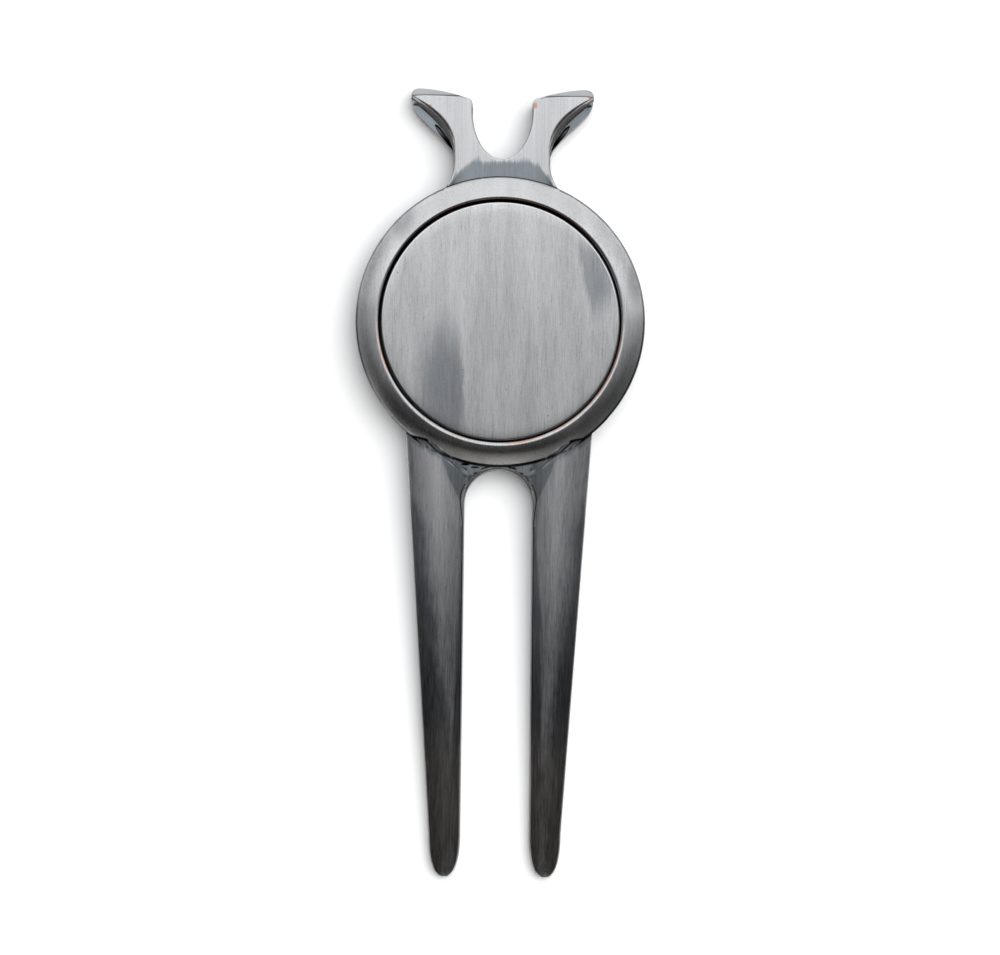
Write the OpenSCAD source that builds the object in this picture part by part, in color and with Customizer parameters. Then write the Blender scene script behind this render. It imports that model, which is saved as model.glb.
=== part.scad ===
// Divot repair tool: a one-piece die-cast fork, ring and eared rest, with a magnetic ball marker.
// It lies on its flat back. The origin is the ring's centre on that back. The prongs point along
// -Y, the ears along +Y, and +Z leaves the marker's face.

/* [Ring] */
// Outer diameter of the raised ring
ring_d = 30.4; // [30:0.1:31]
// Height of the ring's crest above the flat back
ring_h = 4.8; // [4.7:0.1:5.4]
// Radius of the round section of the ring's band
band_arc_r = 4.1; // [3.9:0.1:4.3]
// Radius of the rounding between the band and the ring's outer wall
band_edge_round = 0.22; // [0.15:0.01:0.3]
// Width of the worn chamfer round the recess mouth
mouth_chamfer = 0.34; // [0.2:0.02:0.4]
// Depth of that chamfer
mouth_drop = 0.24; // [0.1:0.02:0.3]
// Height of the recess floor above the flat back
recess_floor_z = 2.7; // [2.5:0.1:2.9]
// Radius of the rounding along the ring's back edge
back_round = 0.5; // [0.2:0.1:0.8]

/* [Ball marker] */
// Diameter of the ball marker
marker_d = 25; // [24.6:0.1:25.1]
// Thickness of the ball marker
marker_t = 1.9; // [1.5:0.1:2]
// Radial gap between the marker and the recess wall
marker_gap = 0.19; // [0.15:0.01:0.25]
// Radius of the marker's rounded rim
marker_round = 0.22; // [0.1:0.02:0.5]

/* [Magnet] */
// Diameter of the disc magnet under the marker
magnet_d = 10; // [8:0.5:12]
// Thickness of the disc magnet
magnet_t = 1.5; // [1:0.1:1.5]
// Chamfer on the magnet's edges
magnet_chamfer = 0.15; // [0.05:0.05:0.3]
// Radial room round the magnet in its pocket
magnet_gap = 0.1; // [0.05:0.05:0.2]
// Thickness of the adhesive film under the magnet
film_t = 0.1; // [0.05:0.05:0.15]
// Height to which the adhesive rises round the magnet
film_rise = 0.7; // [0.4:0.1:1]

/* [Fork] */
// Distance from the ring's centre to the prong tips
tip_y = 58.8; // [56:0.1:64]
// Half of the fork's outer width at its root
root_half_w = 9.9; // [9.5:0.1:10.2]
// Half of the fork's outer width where the tips start to round
end_half_w = 6.96; // [6.8:0.02:7.2]
// Length of each prong's rounded tip
tip_len = 4.6; // [3:0.1:6]
// How blunt the tips are, where 2 is half an ellipse
tip_power = 2.35; // [2:0.05:3]
// Half of the gap between the prongs at the arch, which is the arch's radius
gap_half_w = 3.62; // [3.4:0.02:3.8]
// Half of the gap between the prongs at the tips
gap_end_half_w = 3.7; // [3.6:0.02:3.9]
// Distance from the ring's centre to the centre of the arch
arch_y = 19.2; // [19:0.05:20]
// Height of each prong's crown at the root
crown_root_z = 4.4; // [4.1:0.05:4.5]
// Height of each prong's crown at the tip
crown_tip_z = 1.5; // [1.3:0.1:2.2]
// Height of each prong's long edges at the root
edge_root_z = 3.45; // [3.1:0.05:3.5]
// Height of each prong's long edges at the tip
edge_tip_z = 1.05; // [0.7:0.05:1.2]

/* [Neck and ears] */
// Half of the neck's width at its narrowest place
neck_half_w = 5.1; // [4.9:0.05:5.4]
// Distance from the ring's centre to the neck's narrowest place
neck_y = 16.7; // [16.4:0.1:17]
// Height of the brushed face of the neck and ears
face_z = 3.62; // [3.5:0.02:3.7]
// Depth of the scoop between that face and the ring
scoop_depth = 0.06; // [0.02:0.02:0.2]
// Half of the width across the ears
ear_half_w = 9.6; // [9.2:0.1:10]
// Distance from the ring's centre to the ears' outer corners
ear_y = 24.7; // [24.4:0.1:25]
// Distance from the ring's centre to the line where the ears' end bevel starts
bevel_y = 23.6; // [23.4:0.1:23.8]
// Height of the low flange that runs under each ear
flange_z = 1.9; // [1.5:0.1:2.1]
// Radius of the ears' rounded corners
corner_r = 0.75; // [0.5:0.05:0.9]
// Half of the notch's width between the ears
notch_half_w = 3.14; // [3:0.02:3.4]
// Distance from the ring's centre to the bottom of the notch
notch_y = 17.1; // [16.9:0.05:17.3]
// Width of the narrow slot in the flange under each ear
slot_w = 0.4; // [0.2:0.05:0.44]
// Depth of that slot
slot_depth = 0.7; // [0.4:0.1:1.2]

/* [Hidden] */
$fn = 96;

cut = 1;                  // how far a cutting solid runs past the metal
tiny = 0.02;              // play that keeps touching round faces apart
arc_steps = 12;           // straight steps in a rounded profile

ring_r = ring_d / 2;
marker_r = marker_d / 2;
recess_r = marker_r + marker_gap;
magnet_r = magnet_d / 2;
pocket_r = magnet_r + magnet_gap;
magnet_sink = 0.1;        // how far the magnet sits under the recess floor
magnet_z = recess_floor_z - magnet_sink - magnet_t;
pocket_floor_z = magnet_z - film_t;

band_centre_r = 12.33;    // how far from the axis the centre of the band's round section is
mouth_r = recess_r + mouth_chamfer;
wall_drop = 0.35;         // how far the band's edge rounding runs down the outer wall
knee_share = 0.3;         // the middle of that rounding: its share of the width, from the wall
knee_drop = 0.12;         // and how far it lies under the band's edge

tip_start_y = tip_y - tip_len;
fork_root_y = 10;         // the fork starts inside the ring
crown_power = 1.9;        // how flat the crown is across a prong
crown_spare = 0.15;       // how far the crown runs past each side of the prong

neck_root_y = 12.5;       // the neck starts inside the ring
root_flare_w = 1.05;      // the neck widens towards the ring by this much
root_flare_len = 2.8;     // over this length
flare_y = 17.3;           // the back of the ears starts to flare out here
shoulder_y = 17.2;        // the front edge of the ears starts to flare out here
ear_end_y = 23.4;         // the outer walls reach their full width here
flange_spare = 0.1;       // how far the flange runs past the outline that trims it
flange_lip = 0.2;         // how much higher the flange is by the shoulder than at its edge
shoulder_z = 2.5;         // the rolled shoulder ends here, above the flange
shoulder_in = 0.08;       // the shoulder's foot is this far inside the flange at the neck
shoulder_power = 1.9;     // how late the shoulder's foot turns outwards
shoulder_bow = [[0.5, 0.8], [0.9, 0.35]];   // shares of its width and its height, on the way down
least_step = 0.3;         // the shoulder is at least this high
face_in = 0.22;           // the face is this far inside the flange at the neck
face_power = 3;           // how late the face's edge turns outwards
notch_end_len = 5;        // length of the notch's half-elliptic end
scoop_y = 16.75;          // the scoop's upper edge in the middle
scoop_half_w = 3.1;       // beyond this that edge bends down towards the ring
scoop_side_w = 2.4;       // over this width
scoop_side_fall = 2.6;    // by this much
scoop_power = 1.5;        // along a curve of this power
scoop_least_len = 0.35;   // the scoop is at least this long
slot_top = [7.05, 20.8];  // the flange's slot runs straight from here
slot_foot = [5.15, 18.2]; // to here
bevel_slope = 1.5;        // fall of the end bevel
end_power = 1.6;          // how soon the ears' end rises from the inner to the outer corner
inner_corner_in = 0.1;    // how far the inner corner stays below the bevel's line

brushed_nickel = [0.62, 0.63, 0.64];
marker_nickel = [0.68, 0.69, 0.7];
magnet_nickel = [0.78, 0.78, 0.76];
epoxy = [0.72, 0.68, 0.52];

// ---- curves ----

// Goes smoothly from 0 to 1 as t does.
function ease(t) = let (c = min(max(t, 0), 1)) c * c * (3 - 2 * c);

// The part of the way from a to b that p is, kept between 0 and 1.
function part_way(a, b, p) = min(max((p - a) / (b - a), 0), 1);

function blend(a, b, t) = a + (b - a) * t;

// ---- solids from sections ----

// Joins closed sections of equal point counts into one solid. Each section lies in a plane, starts at
// the foot of its left wall, runs over the top to the foot of its right wall, and shuts along the back.
// The first and last sections are flat-topped, so that the end faces are convex.
module skin(sections) {
    n = len(sections[0]);
    last = len(sections) - 1;
    first_cap = [for (k = [n - 1 : -1 : 0]) k];
    last_cap = [for (k = [0 : n - 1]) last * n + k];
    sides = [
        for (s = [0 : last - 1], k = [0 : n - 1])
            let (a = s * n + k, b = s * n + (k + 1) % n)
                for (face = [[a, b, a + n], [b, b + n, a + n]]) face
    ];
    polyhedron(points = [for (s = sections) each s], faces = concat([first_cap, last_cap], sides));
}

// The same half section with a level top.
function level(half, z) = [for (p = half) [p[0], z]];

// A section at y: the right half's [x, z] points from the middle outwards, and the same mirrored.
// Its walls reach below the back plane, where an outline's extrusion trims them.
function section(y, half) = concat(
    [[-half[len(half) - 1][0], y, -cut]],
    [for (k = [len(half) - 1 : -1 : 1]) [-half[k][0], y, half[k][1]]],
    [for (p = half) [p[0], y, p[1]]],
    [[half[len(half) - 1][0], y, -cut]]
);

// A closed outline from its right half, which may end in points on the middle line.
function both_sides(half, middle = []) = concat(
    half,
    middle,
    [for (k = [len(half) - 1 : -1 : 0]) [-half[k][0], half[k][1]]]
);

// Keeps what stands over the back plane, inside the outline.
module trimmed() {
    intersection() {
        children(0);
        linear_extrude(ring_h)
            children(1);
    }
}

// ---- ring ----

// Height of the band's round section at radius r.
function band_z(r) =
    ring_h
        - sqrt(pow(band_arc_r, 2) - pow(mouth_r - band_centre_r, 2))
        + sqrt(pow(band_arc_r, 2) - pow(r - band_centre_r, 2));

module ring_blank() {
    edge_r = ring_r - band_edge_round;
    rotate_extrude()
        polygon(concat(
            [[0, 0], [ring_r - back_round, 0]],
            [for (k = [1 : arc_steps]) let (a = 90 * k / arc_steps)
                [ring_r - back_round + back_round * sin(a), back_round - back_round * cos(a)]],
            [[ring_r, band_z(edge_r) - wall_drop]],
            [[ring_r - band_edge_round * knee_share, band_z(edge_r) - knee_drop]],
            [for (k = [0 : arc_steps]) let (r = blend(edge_r, mouth_r, k / arc_steps)) [r, band_z(r)]],
            [[0, ring_h]]
        ));
}

// The round recess for the marker, its worn mouth and the magnet's pocket below it.
module recess() {
    translate([0, 0, recess_floor_z])
        cylinder(r = recess_r, h = ring_h);
    translate([0, 0, ring_h - mouth_drop])
        cylinder(r1 = recess_r, r2 = recess_r + mouth_chamfer * (mouth_drop + cut) / mouth_drop,
            h = mouth_drop + cut);
    translate([0, 0, pocket_floor_z])
        cylinder(r = pocket_r, h = ring_h);
}

// ---- fork ----

function prong_way(y) = part_way(-fork_root_y, -tip_y, y);

function outer_half_w(y) =
    blend(root_half_w, end_half_w, part_way(-fork_root_y, -tip_start_y, y));

function inner_half_w(y) =
    blend(gap_half_w, gap_end_half_w, part_way(-arch_y, -tip_start_y, y));

// Half of the section over the fork at y: a low web in the middle and the crowned prong beside it.
// The crown is a little wider than the prong, whose outline trims it.
function fork_half(y) =
    let (
        edge = blend(edge_root_z, edge_tip_z, prong_way(y)),
        crown = blend(crown_root_z, crown_tip_z, prong_way(y)),
        middle = (inner_half_w(y) + outer_half_w(y)) / 2,
        half_w = (outer_half_w(y) - inner_half_w(y)) / 2 + crown_spare
    )
    concat(
        [[0, edge]],
        [for (d = [-1 : 0.2 : 1])
            [middle + d * half_w, edge + (crown - edge) * (1 - pow(abs(d), crown_power))]],
        [[root_half_w + cut, edge]]
    );

// Outline of one prong's tip, from its outer edge round to its inner edge.
function tip_outline() =
    let (
        outer = end_half_w,
        inner = gap_end_half_w,
        middle = (outer + inner) / 2
    )
    [for (k = [0 : 2 * arc_steps])
        let (
            a = 90 * k / arc_steps,
            across = sign(cos(a)) * pow(abs(cos(a)), 2 / tip_power),
            ahead = pow(sin(a), 2 / tip_power)
        )
        [middle + (outer - inner) / 2 * across, -tip_start_y - tip_len * ahead]];

module fork_outline() {
    difference() {
        polygon(both_sides(concat(
            [[root_half_w, -fork_root_y]],
            tip_outline(),
            [[gap_half_w, -arch_y]]
        )));
        translate([0, -arch_y])
            circle(r = gap_half_w);
    }
}

module fork() {
    steps = 14;
    ys = [for (k = [0 : steps]) -blend(fork_root_y, tip_y, k / steps)];
    trimmed() {
        skin(concat(
            [section(ys[0] + cut, level(fork_half(ys[0]), edge_root_z))],
            [for (y = ys) section(y, fork_half(y))],
            [section(ys[steps] - cut, level(fork_half(ys[steps]), edge_tip_z))]
        ));
        fork_outline();
    }
}

// ---- neck and ears ----

// Widening of the neck where it runs into the ring.
function root_flare(y) = root_flare_w * pow((neck_y - min(y, neck_y)) / root_flare_len, 2);

// Half widths at y of the low flange, of the shoulder's foot and of the front face. The flange ends
// a little wider than the ears, whose outline trims it.
function flange_half_w(y) =
    neck_half_w + root_flare(y)
        + (ear_half_w + flange_spare - neck_half_w) * ease(part_way(flare_y, ear_end_y, y));

function shoulder_half_w(y) =
    neck_half_w - shoulder_in + root_flare(y)
        + (ear_half_w - neck_half_w) * pow(part_way(flare_y, ear_end_y, y), shoulder_power);

function face_half_w(y) =
    neck_half_w - face_in + root_flare(y)
        + (ear_half_w - neck_half_w) * pow(part_way(shoulder_y, bevel_y, y), face_power);

// Height of the front at [x, y]: the flat face, less the scoop at the ring and the bevel at the end.
function front_z(x, y) =
    let (
        aside = part_way(scoop_half_w, scoop_half_w + scoop_side_w, abs(x)),
        rim_y = scoop_y - scoop_side_fall * pow(aside, scoop_power),
        at_ring_y = sqrt(max(pow(ring_r, 2) - pow(x, 2), 0)),
        share = part_way(0, max(rim_y - at_ring_y, scoop_least_len), rim_y - y)
    )
    face_z - scoop_depth * share - max(0, y - bevel_y) * bevel_slope;

function ear_half(y) =
    let (
        face = face_half_w(y),
        foot = shoulder_half_w(y),
        wide = flange_half_w(y),
        top = front_z(face, y)
    )
    [
        [0, front_z(0, y)],
        [face / 3, front_z(face / 3, y)],
        [face * 2 / 3, front_z(face * 2 / 3, y)],
        [face, top],
        for (p = shoulder_bow) [blend(face, foot, p[0]), blend(shoulder_z, top, p[1])],
        [foot, min(shoulder_z, top - least_step)],
        [foot + tiny, flange_z + flange_lip],
        [wide + tiny, flange_z - flange_lip]
    ];

// Right half of the outline that trims the ears: their rounded outer corner, sloping end and rounded
// inner corner, and the notch's side.
function ear_outline_half() =
    let (
        far_x = ear_half_w - corner_r,
        near_x = notch_half_w + corner_r,
        near_y = bevel_y - inner_corner_in,
        steps = 8,
        wall_y = notch_y + notch_end_len
    )
    concat(
        [[ear_half_w + cut, neck_root_y], [ear_half_w + cut, ear_end_y - cut]],
        [[ear_half_w, ear_end_y - cut]],
        [for (k = [0 : arc_steps]) let (a = 90 * k / arc_steps)
            [far_x + corner_r * cos(a), ear_y - corner_r + corner_r * sin(a)]],
        [for (k = [1 : steps - 1]) let (t = 1 - k / steps)
            [blend(near_x, far_x, t), blend(near_y, ear_y, 1 - pow(1 - t, end_power))]],
        [for (k = [0 : arc_steps]) let (a = 90 + 90 * k / arc_steps)
            [near_x + corner_r * cos(a), near_y - corner_r + corner_r * sin(a)]],
        [for (k = [0 : arc_steps - 1]) let (a = 90 * k / arc_steps)
            [notch_half_w * cos(a), wall_y - notch_end_len * sin(a)]]
    );

module ears_outline() {
    polygon(both_sides(ear_outline_half(), [[0, notch_y]]));
}

// The narrow pointed slot in the flange under an ear.
module flange_slot() {
    steps = 12;
    run = slot_foot - slot_top;
    across = [-run[1], run[0]] / norm(run);
    translate([0, 0, flange_z - slot_depth])
        linear_extrude(slot_depth + cut)
            polygon([for (k = [0 : 2 * steps - 1])
                let (t = 1 - abs(k - steps) / steps, side = k < steps ? 1 : -1)
                    slot_top + run * t + across * side * slot_w / 2 * sqrt(4 * t * (1 - t))]);
}

module neck_and_ears() {
    steps = 24;
    ys = concat([ear_y], [for (k = [0 : steps]) blend(bevel_y, neck_root_y, k / steps)]);
    difference() {
        trimmed() {
            skin(concat(
                [section(ear_y + cut, level(ear_half(ear_y), shoulder_z))],
                [for (y = ys) section(y, ear_half(y))],
                [section(neck_root_y - cut, level(ear_half(neck_root_y), flange_z))]
            ));
            ears_outline();
        }
        for (side = [0, 1])
            mirror([side, 0])
                flange_slot();
    }
}

// ---- the pieces ----

module tool_body() {
    color(brushed_nickel)
        difference() {
            union() {
                ring_blank();
                fork();
                neck_and_ears();
            }
            recess();
        }
}

module magnet() {
    color(magnet_nickel)
        translate([0, 0, magnet_z])
            rotate_extrude()
                polygon([
                    [0, 0],
                    [magnet_r - magnet_chamfer, 0],
                    [magnet_r, magnet_chamfer],
                    [magnet_r, magnet_t - magnet_chamfer],
                    [magnet_r - magnet_chamfer, magnet_t],
                    [0, magnet_t]
                ]);
}

// Cured adhesive: a film under the magnet and a low wall in the gap round it.
module magnet_adhesive() {
    color(epoxy)
        translate([0, 0, pocket_floor_z])
            difference() {
                cylinder(r = pocket_r - tiny, h = film_t + film_rise);
                translate([0, 0, film_t])
                    cylinder(r = magnet_r + tiny, h = film_rise + cut);
            }
}

module ball_marker() {
    top = marker_t;
    turn = marker_r - marker_round;
    color(marker_nickel)
        translate([0, 0, recess_floor_z + tiny])
            rotate_extrude()
                polygon(concat(
                    [[0, 0], [turn, 0]],
                    [for (k = [1 : arc_steps]) let (a = 90 * k / arc_steps)
                        [turn + marker_round * sin(a), marker_round - marker_round * cos(a)]],
                    [for (k = [0 : arc_steps]) let (a = 90 * k / arc_steps)
                        [turn + marker_round * cos(a), top - marker_round + marker_round * sin(a)]],
                    [[0, top]]
                ));
}

tool_body();
magnet_adhesive();
magnet();
ball_marker();
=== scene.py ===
"""The divot repair tool's looks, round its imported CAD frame. Shapes are worked out in millimetres."""

import math

import bmesh
import bpy
import numpy as np
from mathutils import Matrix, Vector


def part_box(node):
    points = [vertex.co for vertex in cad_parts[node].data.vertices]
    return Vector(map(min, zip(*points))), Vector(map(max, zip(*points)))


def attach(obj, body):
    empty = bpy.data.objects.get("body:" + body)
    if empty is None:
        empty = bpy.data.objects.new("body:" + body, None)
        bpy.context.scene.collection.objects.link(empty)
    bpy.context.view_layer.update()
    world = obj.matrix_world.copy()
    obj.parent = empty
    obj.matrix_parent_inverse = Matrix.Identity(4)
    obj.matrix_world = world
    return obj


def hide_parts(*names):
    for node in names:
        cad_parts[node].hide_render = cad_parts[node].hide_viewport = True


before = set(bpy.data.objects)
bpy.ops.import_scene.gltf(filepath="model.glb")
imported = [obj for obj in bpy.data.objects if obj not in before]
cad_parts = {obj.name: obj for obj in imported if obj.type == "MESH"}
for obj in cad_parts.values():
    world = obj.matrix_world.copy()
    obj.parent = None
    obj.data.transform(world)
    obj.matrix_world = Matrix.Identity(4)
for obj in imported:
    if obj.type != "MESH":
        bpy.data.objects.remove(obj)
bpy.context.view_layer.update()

MM = 0.001
QUARTER = math.pi / 2


def box_mm(node):
    """A CAD node's lowest and highest corners, in millimetres."""
    low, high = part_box(node)
    return np.array(low) / MM, np.array(high) / MM


body_low, body_high = box_mm("tool_body")
marker_low, marker_high = box_mm("ball_marker")
magnet_low, magnet_high = box_mm("magnet")
glue_low, glue_high = box_mm("magnet_adhesive")

# ---- sizes that the frame gives ----

RING_R = body_high[0]
RING_H = body_high[2]
SIDE_BOW = 0.05  # how far the fork's sides bulge past its outline
TIP_Y = -body_low[1] - SIDE_BOW
EAR_Y = body_high[1]
MARKER_R = marker_high[0]
MARKER_FOOT = marker_low[2]
MARKER_TOP = marker_high[2]
MAGNET_R = magnet_high[0]
GLUE_R = glue_high[0]

# ---- ring, in millimetres ----

MARKER_GAP = 0.19
RECESS_R = MARKER_R + MARKER_GAP
RECESS_FLOOR = MARKER_FOOT - 0.02
MOUTH_CHAMFER = 0.34  # width of the worn, rounded lip of the recess, and how far it drops
MOUTH_DROP = 0.24
ARC_R = 4.1  # the band's rounded section: its radius and the distance of its centre from the axis
ARC_CENTRE_R = 12.33
BAND_EDGE_ROUND = 0.22
BACK_ROUND = 0.5
POCKET_R = GLUE_R + 0.02
POCKET_FLOOR = glue_low[2]
ROOT_R = 13.1  # the fork and the neck start at this radius, inside the ring's wall

# ---- fork, in millimetres ----

TIP_LEN = 4.6
TIP_START_Y = TIP_Y - TIP_LEN
FORK_ROOT_Y = 10.0
ROOT_HALF_W = 9.9
END_HALF_W = 6.96
ARCH_R = 3.62
ARCH_Y = -19.2
GAP_END_HALF_W = 3.7
TIP_MIDDLE = (END_HALF_W + GAP_END_HALF_W) / 2
TIP_HALF_W = (END_HALF_W - GAP_END_HALF_W) / 2
TIP_POWER = 2.35  # how blunt the tip is: 2 is an ellipse
CROWN_ROOT_Z = 4.4
CROWN_TIP_Z = 1.5
EDGE_ROOT_Z = 3.45
EDGE_TIP_Z = 1.05
CROWN_POWER = 1.9
# The line where the polished crown ends and the dark web starts, from the inner edge up under the ring.
CREASE_LOW = [[3.4, -22], [3.75, -20.2], [4.1, -18.8], [4.75, -17.4], [5.15, -16.6]]
CREASE = np.array(CREASE_LOW + [[5.5, -15.6], [5.8, -14.8], [6.3, -14], [7.6, -12.6]])
TOP_ROUND = 0.2
BACK_EDGE_ROUND = 0.35

# ---- neck and ears, in millimetres ----

NECK_HALF_W = 5.1
NECK_Y = 16.7
FLARE_LOW_Y = 13.5
FACE_Z = 3.62
SCOOP_DEPTH = 0.06
EAR_HALF_W = 9.6
EAR_END_Y = 23.4
BEVEL_Y = 23.58
BEVEL_SLOPE = 1.5
SHOULDER_Z = 2.5
FLANGE_Z = 1.9
CORNER_R = 0.75
SLOT_TOP = np.array([7.05, 20.8])
SLOT_FOOT = np.array([5.15, 18.2])
SLOT_HALF_W = 0.2
SLOT_DEPTH = 0.7
NOTCH_HALF_W = 3.14
NOTCH_Y = 17.1
NOTCH_END_LEN = 5.0
NOTCH_TOP_DROP = 0.25
TURNS = np.linspace(0, QUARTER, 10)[1:]  # the steps of a rounded edge


def clip01(t):
    return np.clip(t, 0.0, 1.0)


def ease(t):
    """Goes smoothly from 0 to 1 as t does."""
    c = clip01(t)
    return c * c * (3 - 2 * c)


def part_way(a, b, p):
    """The part of the way from a to b that p is, kept between 0 and 1."""
    return clip01((p - a) / (b - a))


def blend(a, b, t):
    return a + (b - a) * t


def unit(v):
    return v / np.maximum(np.linalg.norm(v, axis=-1, keepdims=True), 1e-12)


def along(line, shares):
    """Points of a polyline at these shares of its length."""
    line = np.asarray(line, float)
    steps = np.linalg.norm(np.diff(line, axis=0), axis=1)
    length = np.concatenate([[0], np.cumsum(steps)])
    at = np.asarray(shares) * length[-1]
    return np.stack([np.interp(at, length, line[:, i]) for i in range(line.shape[1])], axis=1)


# ---- meshes ----


def add_object(name, data):
    made = bpy.data.objects.new(name, data)
    bpy.context.scene.collection.objects.link(made)
    return made


def new_object(name, vertices, faces):
    """A closed mesh object from millimetre points, without doubled or unused ones."""
    mesh = bpy.data.meshes.new(name)
    mesh.from_pydata((np.asarray(vertices) * MM).tolist(), [], [list(map(int, f)) for f in faces])
    work = bmesh.new()
    work.from_mesh(mesh)
    bmesh.ops.delete(work, geom=[v for v in work.verts if not v.link_faces], context="VERTS")
    bmesh.ops.remove_doubles(work, verts=work.verts, dist=1e-6)
    bmesh.ops.recalc_face_normals(work, faces=work.faces)
    work.to_mesh(mesh)
    work.free()
    return add_object(name, mesh)


def quads(a, b):
    """Faces between two rows of point numbers."""
    return [(a[i], a[i + 1], b[i + 1], b[i]) for i in range(len(a) - 1)]


def revolve(name, profile, segments):
    """A solid of revolution about Z. The profile's [r, z] points start and end on the axis."""
    profile = np.asarray(profile, float)
    turn = np.linspace(0, 2 * math.pi, segments, endpoint=False)
    r, z = profile.T
    rows = [np.stack([r * math.cos(a), r * math.sin(a), z], axis=1) for a in turn]
    count = len(profile)
    numbers = np.arange(segments * count).reshape(segments, count)
    faces = [f for k in range(segments) for f in quads(numbers[k], numbers[(k + 1) % segments])]
    return new_object(name, np.concatenate(rows), faces)


def mirrored_shell(name, top, bottom, rim):
    """A solid that is the same on both sides of the plane x = 0, from its right half.

    top and bottom are grids of points whose first row lies on that plane. rim holds, for each point of
    their edge from the first row's start round to its end, the points that join the top to the bottom.
    """
    rows, columns = top.shape[:2]
    numbers = np.arange(rows * columns).reshape(rows, columns)
    path = np.concatenate([numbers[:, 0], numbers[-1, 1:], numbers[-2::-1, -1]])
    below = rows * columns
    first_rim = 2 * below
    depth = rim.shape[1]
    walls = first_rim + np.arange(len(path) * depth).reshape(len(path), depth)
    walls = np.concatenate([path[:, None], walls, below + path[:, None]], axis=1)
    faces = [f for k in range(rows - 1) for f in quads(numbers[k], numbers[k + 1])]
    # The back is flat, so each row needs one face from side to side, and the far end needs one.
    sides = below + numbers[:, [0, -1]]
    faces += [f for k in range(rows - 2) for f in quads(sides[k + 1], sides[k])]
    faces.append((sides[-2, 0], sides[-2, 1], *reversed(below + numbers[-1])))
    faces += [f for k in range(len(path) - 1) for f in quads(walls[k + 1], walls[k])]
    half = np.concatenate([top.reshape(-1, 3), bottom.reshape(-1, 3), rim.reshape(-1, 3)])
    other = half * [-1, 1, 1]
    faces += [tuple(len(half) + i for i in reversed(f)) for f in faces]
    return new_object(name, np.concatenate([half, other]), faces)


def drop_folds(mesh):
    """Splits the faces into triangles, and deletes those that lie back to back."""
    work = bmesh.new()
    work.from_mesh(mesh)
    bmesh.ops.dissolve_degenerate(work, edges=work.edges, dist=1e-7)
    bmesh.ops.triangulate(work, faces=work.faces)
    same_corners = {}
    for face in work.faces:
        same_corners.setdefault(frozenset(face.verts), []).append(face)
    folds = [face for faces in same_corners.values() if len(faces) > 1 for face in faces]
    bmesh.ops.delete(work, geom=folds, context="FACES")
    work.to_mesh(mesh)
    work.free()


def united(name, pieces):
    """One solid from several."""
    first = pieces[0]
    for other in pieces[1:]:
        join = first.modifiers.new("join", "BOOLEAN")
        join.operation = "UNION"
        join.solver = "MANIFOLD"
        join.object = other
    shapes = bpy.context.evaluated_depsgraph_get()
    mesh = bpy.data.meshes.new_from_object(first.evaluated_get(shapes))
    mesh.name = name
    drop_folds(mesh)
    piece = add_object(name, mesh)
    for old in pieces:
        bpy.data.objects.remove(old)
    return piece


def smooth(piece, crease_degrees):
    """Smooth shading, except over edges that turn by more than this."""
    mesh = piece.data
    mesh.polygons.foreach_set("use_smooth", [True] * len(mesh.polygons))
    mesh.set_sharp_from_angle(angle=math.radians(crease_degrees))


def lay_flat_map(piece):
    """A UV map in the XY plane, so that the brushing runs along Y."""
    mesh = piece.data
    uv = mesh.uv_layers.new(name="flat")
    points = np.empty(len(mesh.vertices) * 3)
    mesh.vertices.foreach_get("co", points)
    corners = np.empty(len(mesh.loops), int)
    mesh.loops.foreach_get("vertex_index", corners)
    flat = points.reshape(-1, 3)[corners, :2] / MM / 100 + 0.5
    uv.data.foreach_set("uv", flat.ravel())


# ---- ring ----


def band_z(r):
    """Height of the ring's rounded band at this radius, highest at the recess's mouth."""
    start = np.sqrt(ARC_R**2 - (RECESS_R + MOUTH_CHAMFER - ARC_CENTRE_R) ** 2)
    return RING_H - start + np.sqrt(ARC_R**2 - (r - ARC_CENTRE_R) ** 2)


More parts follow.
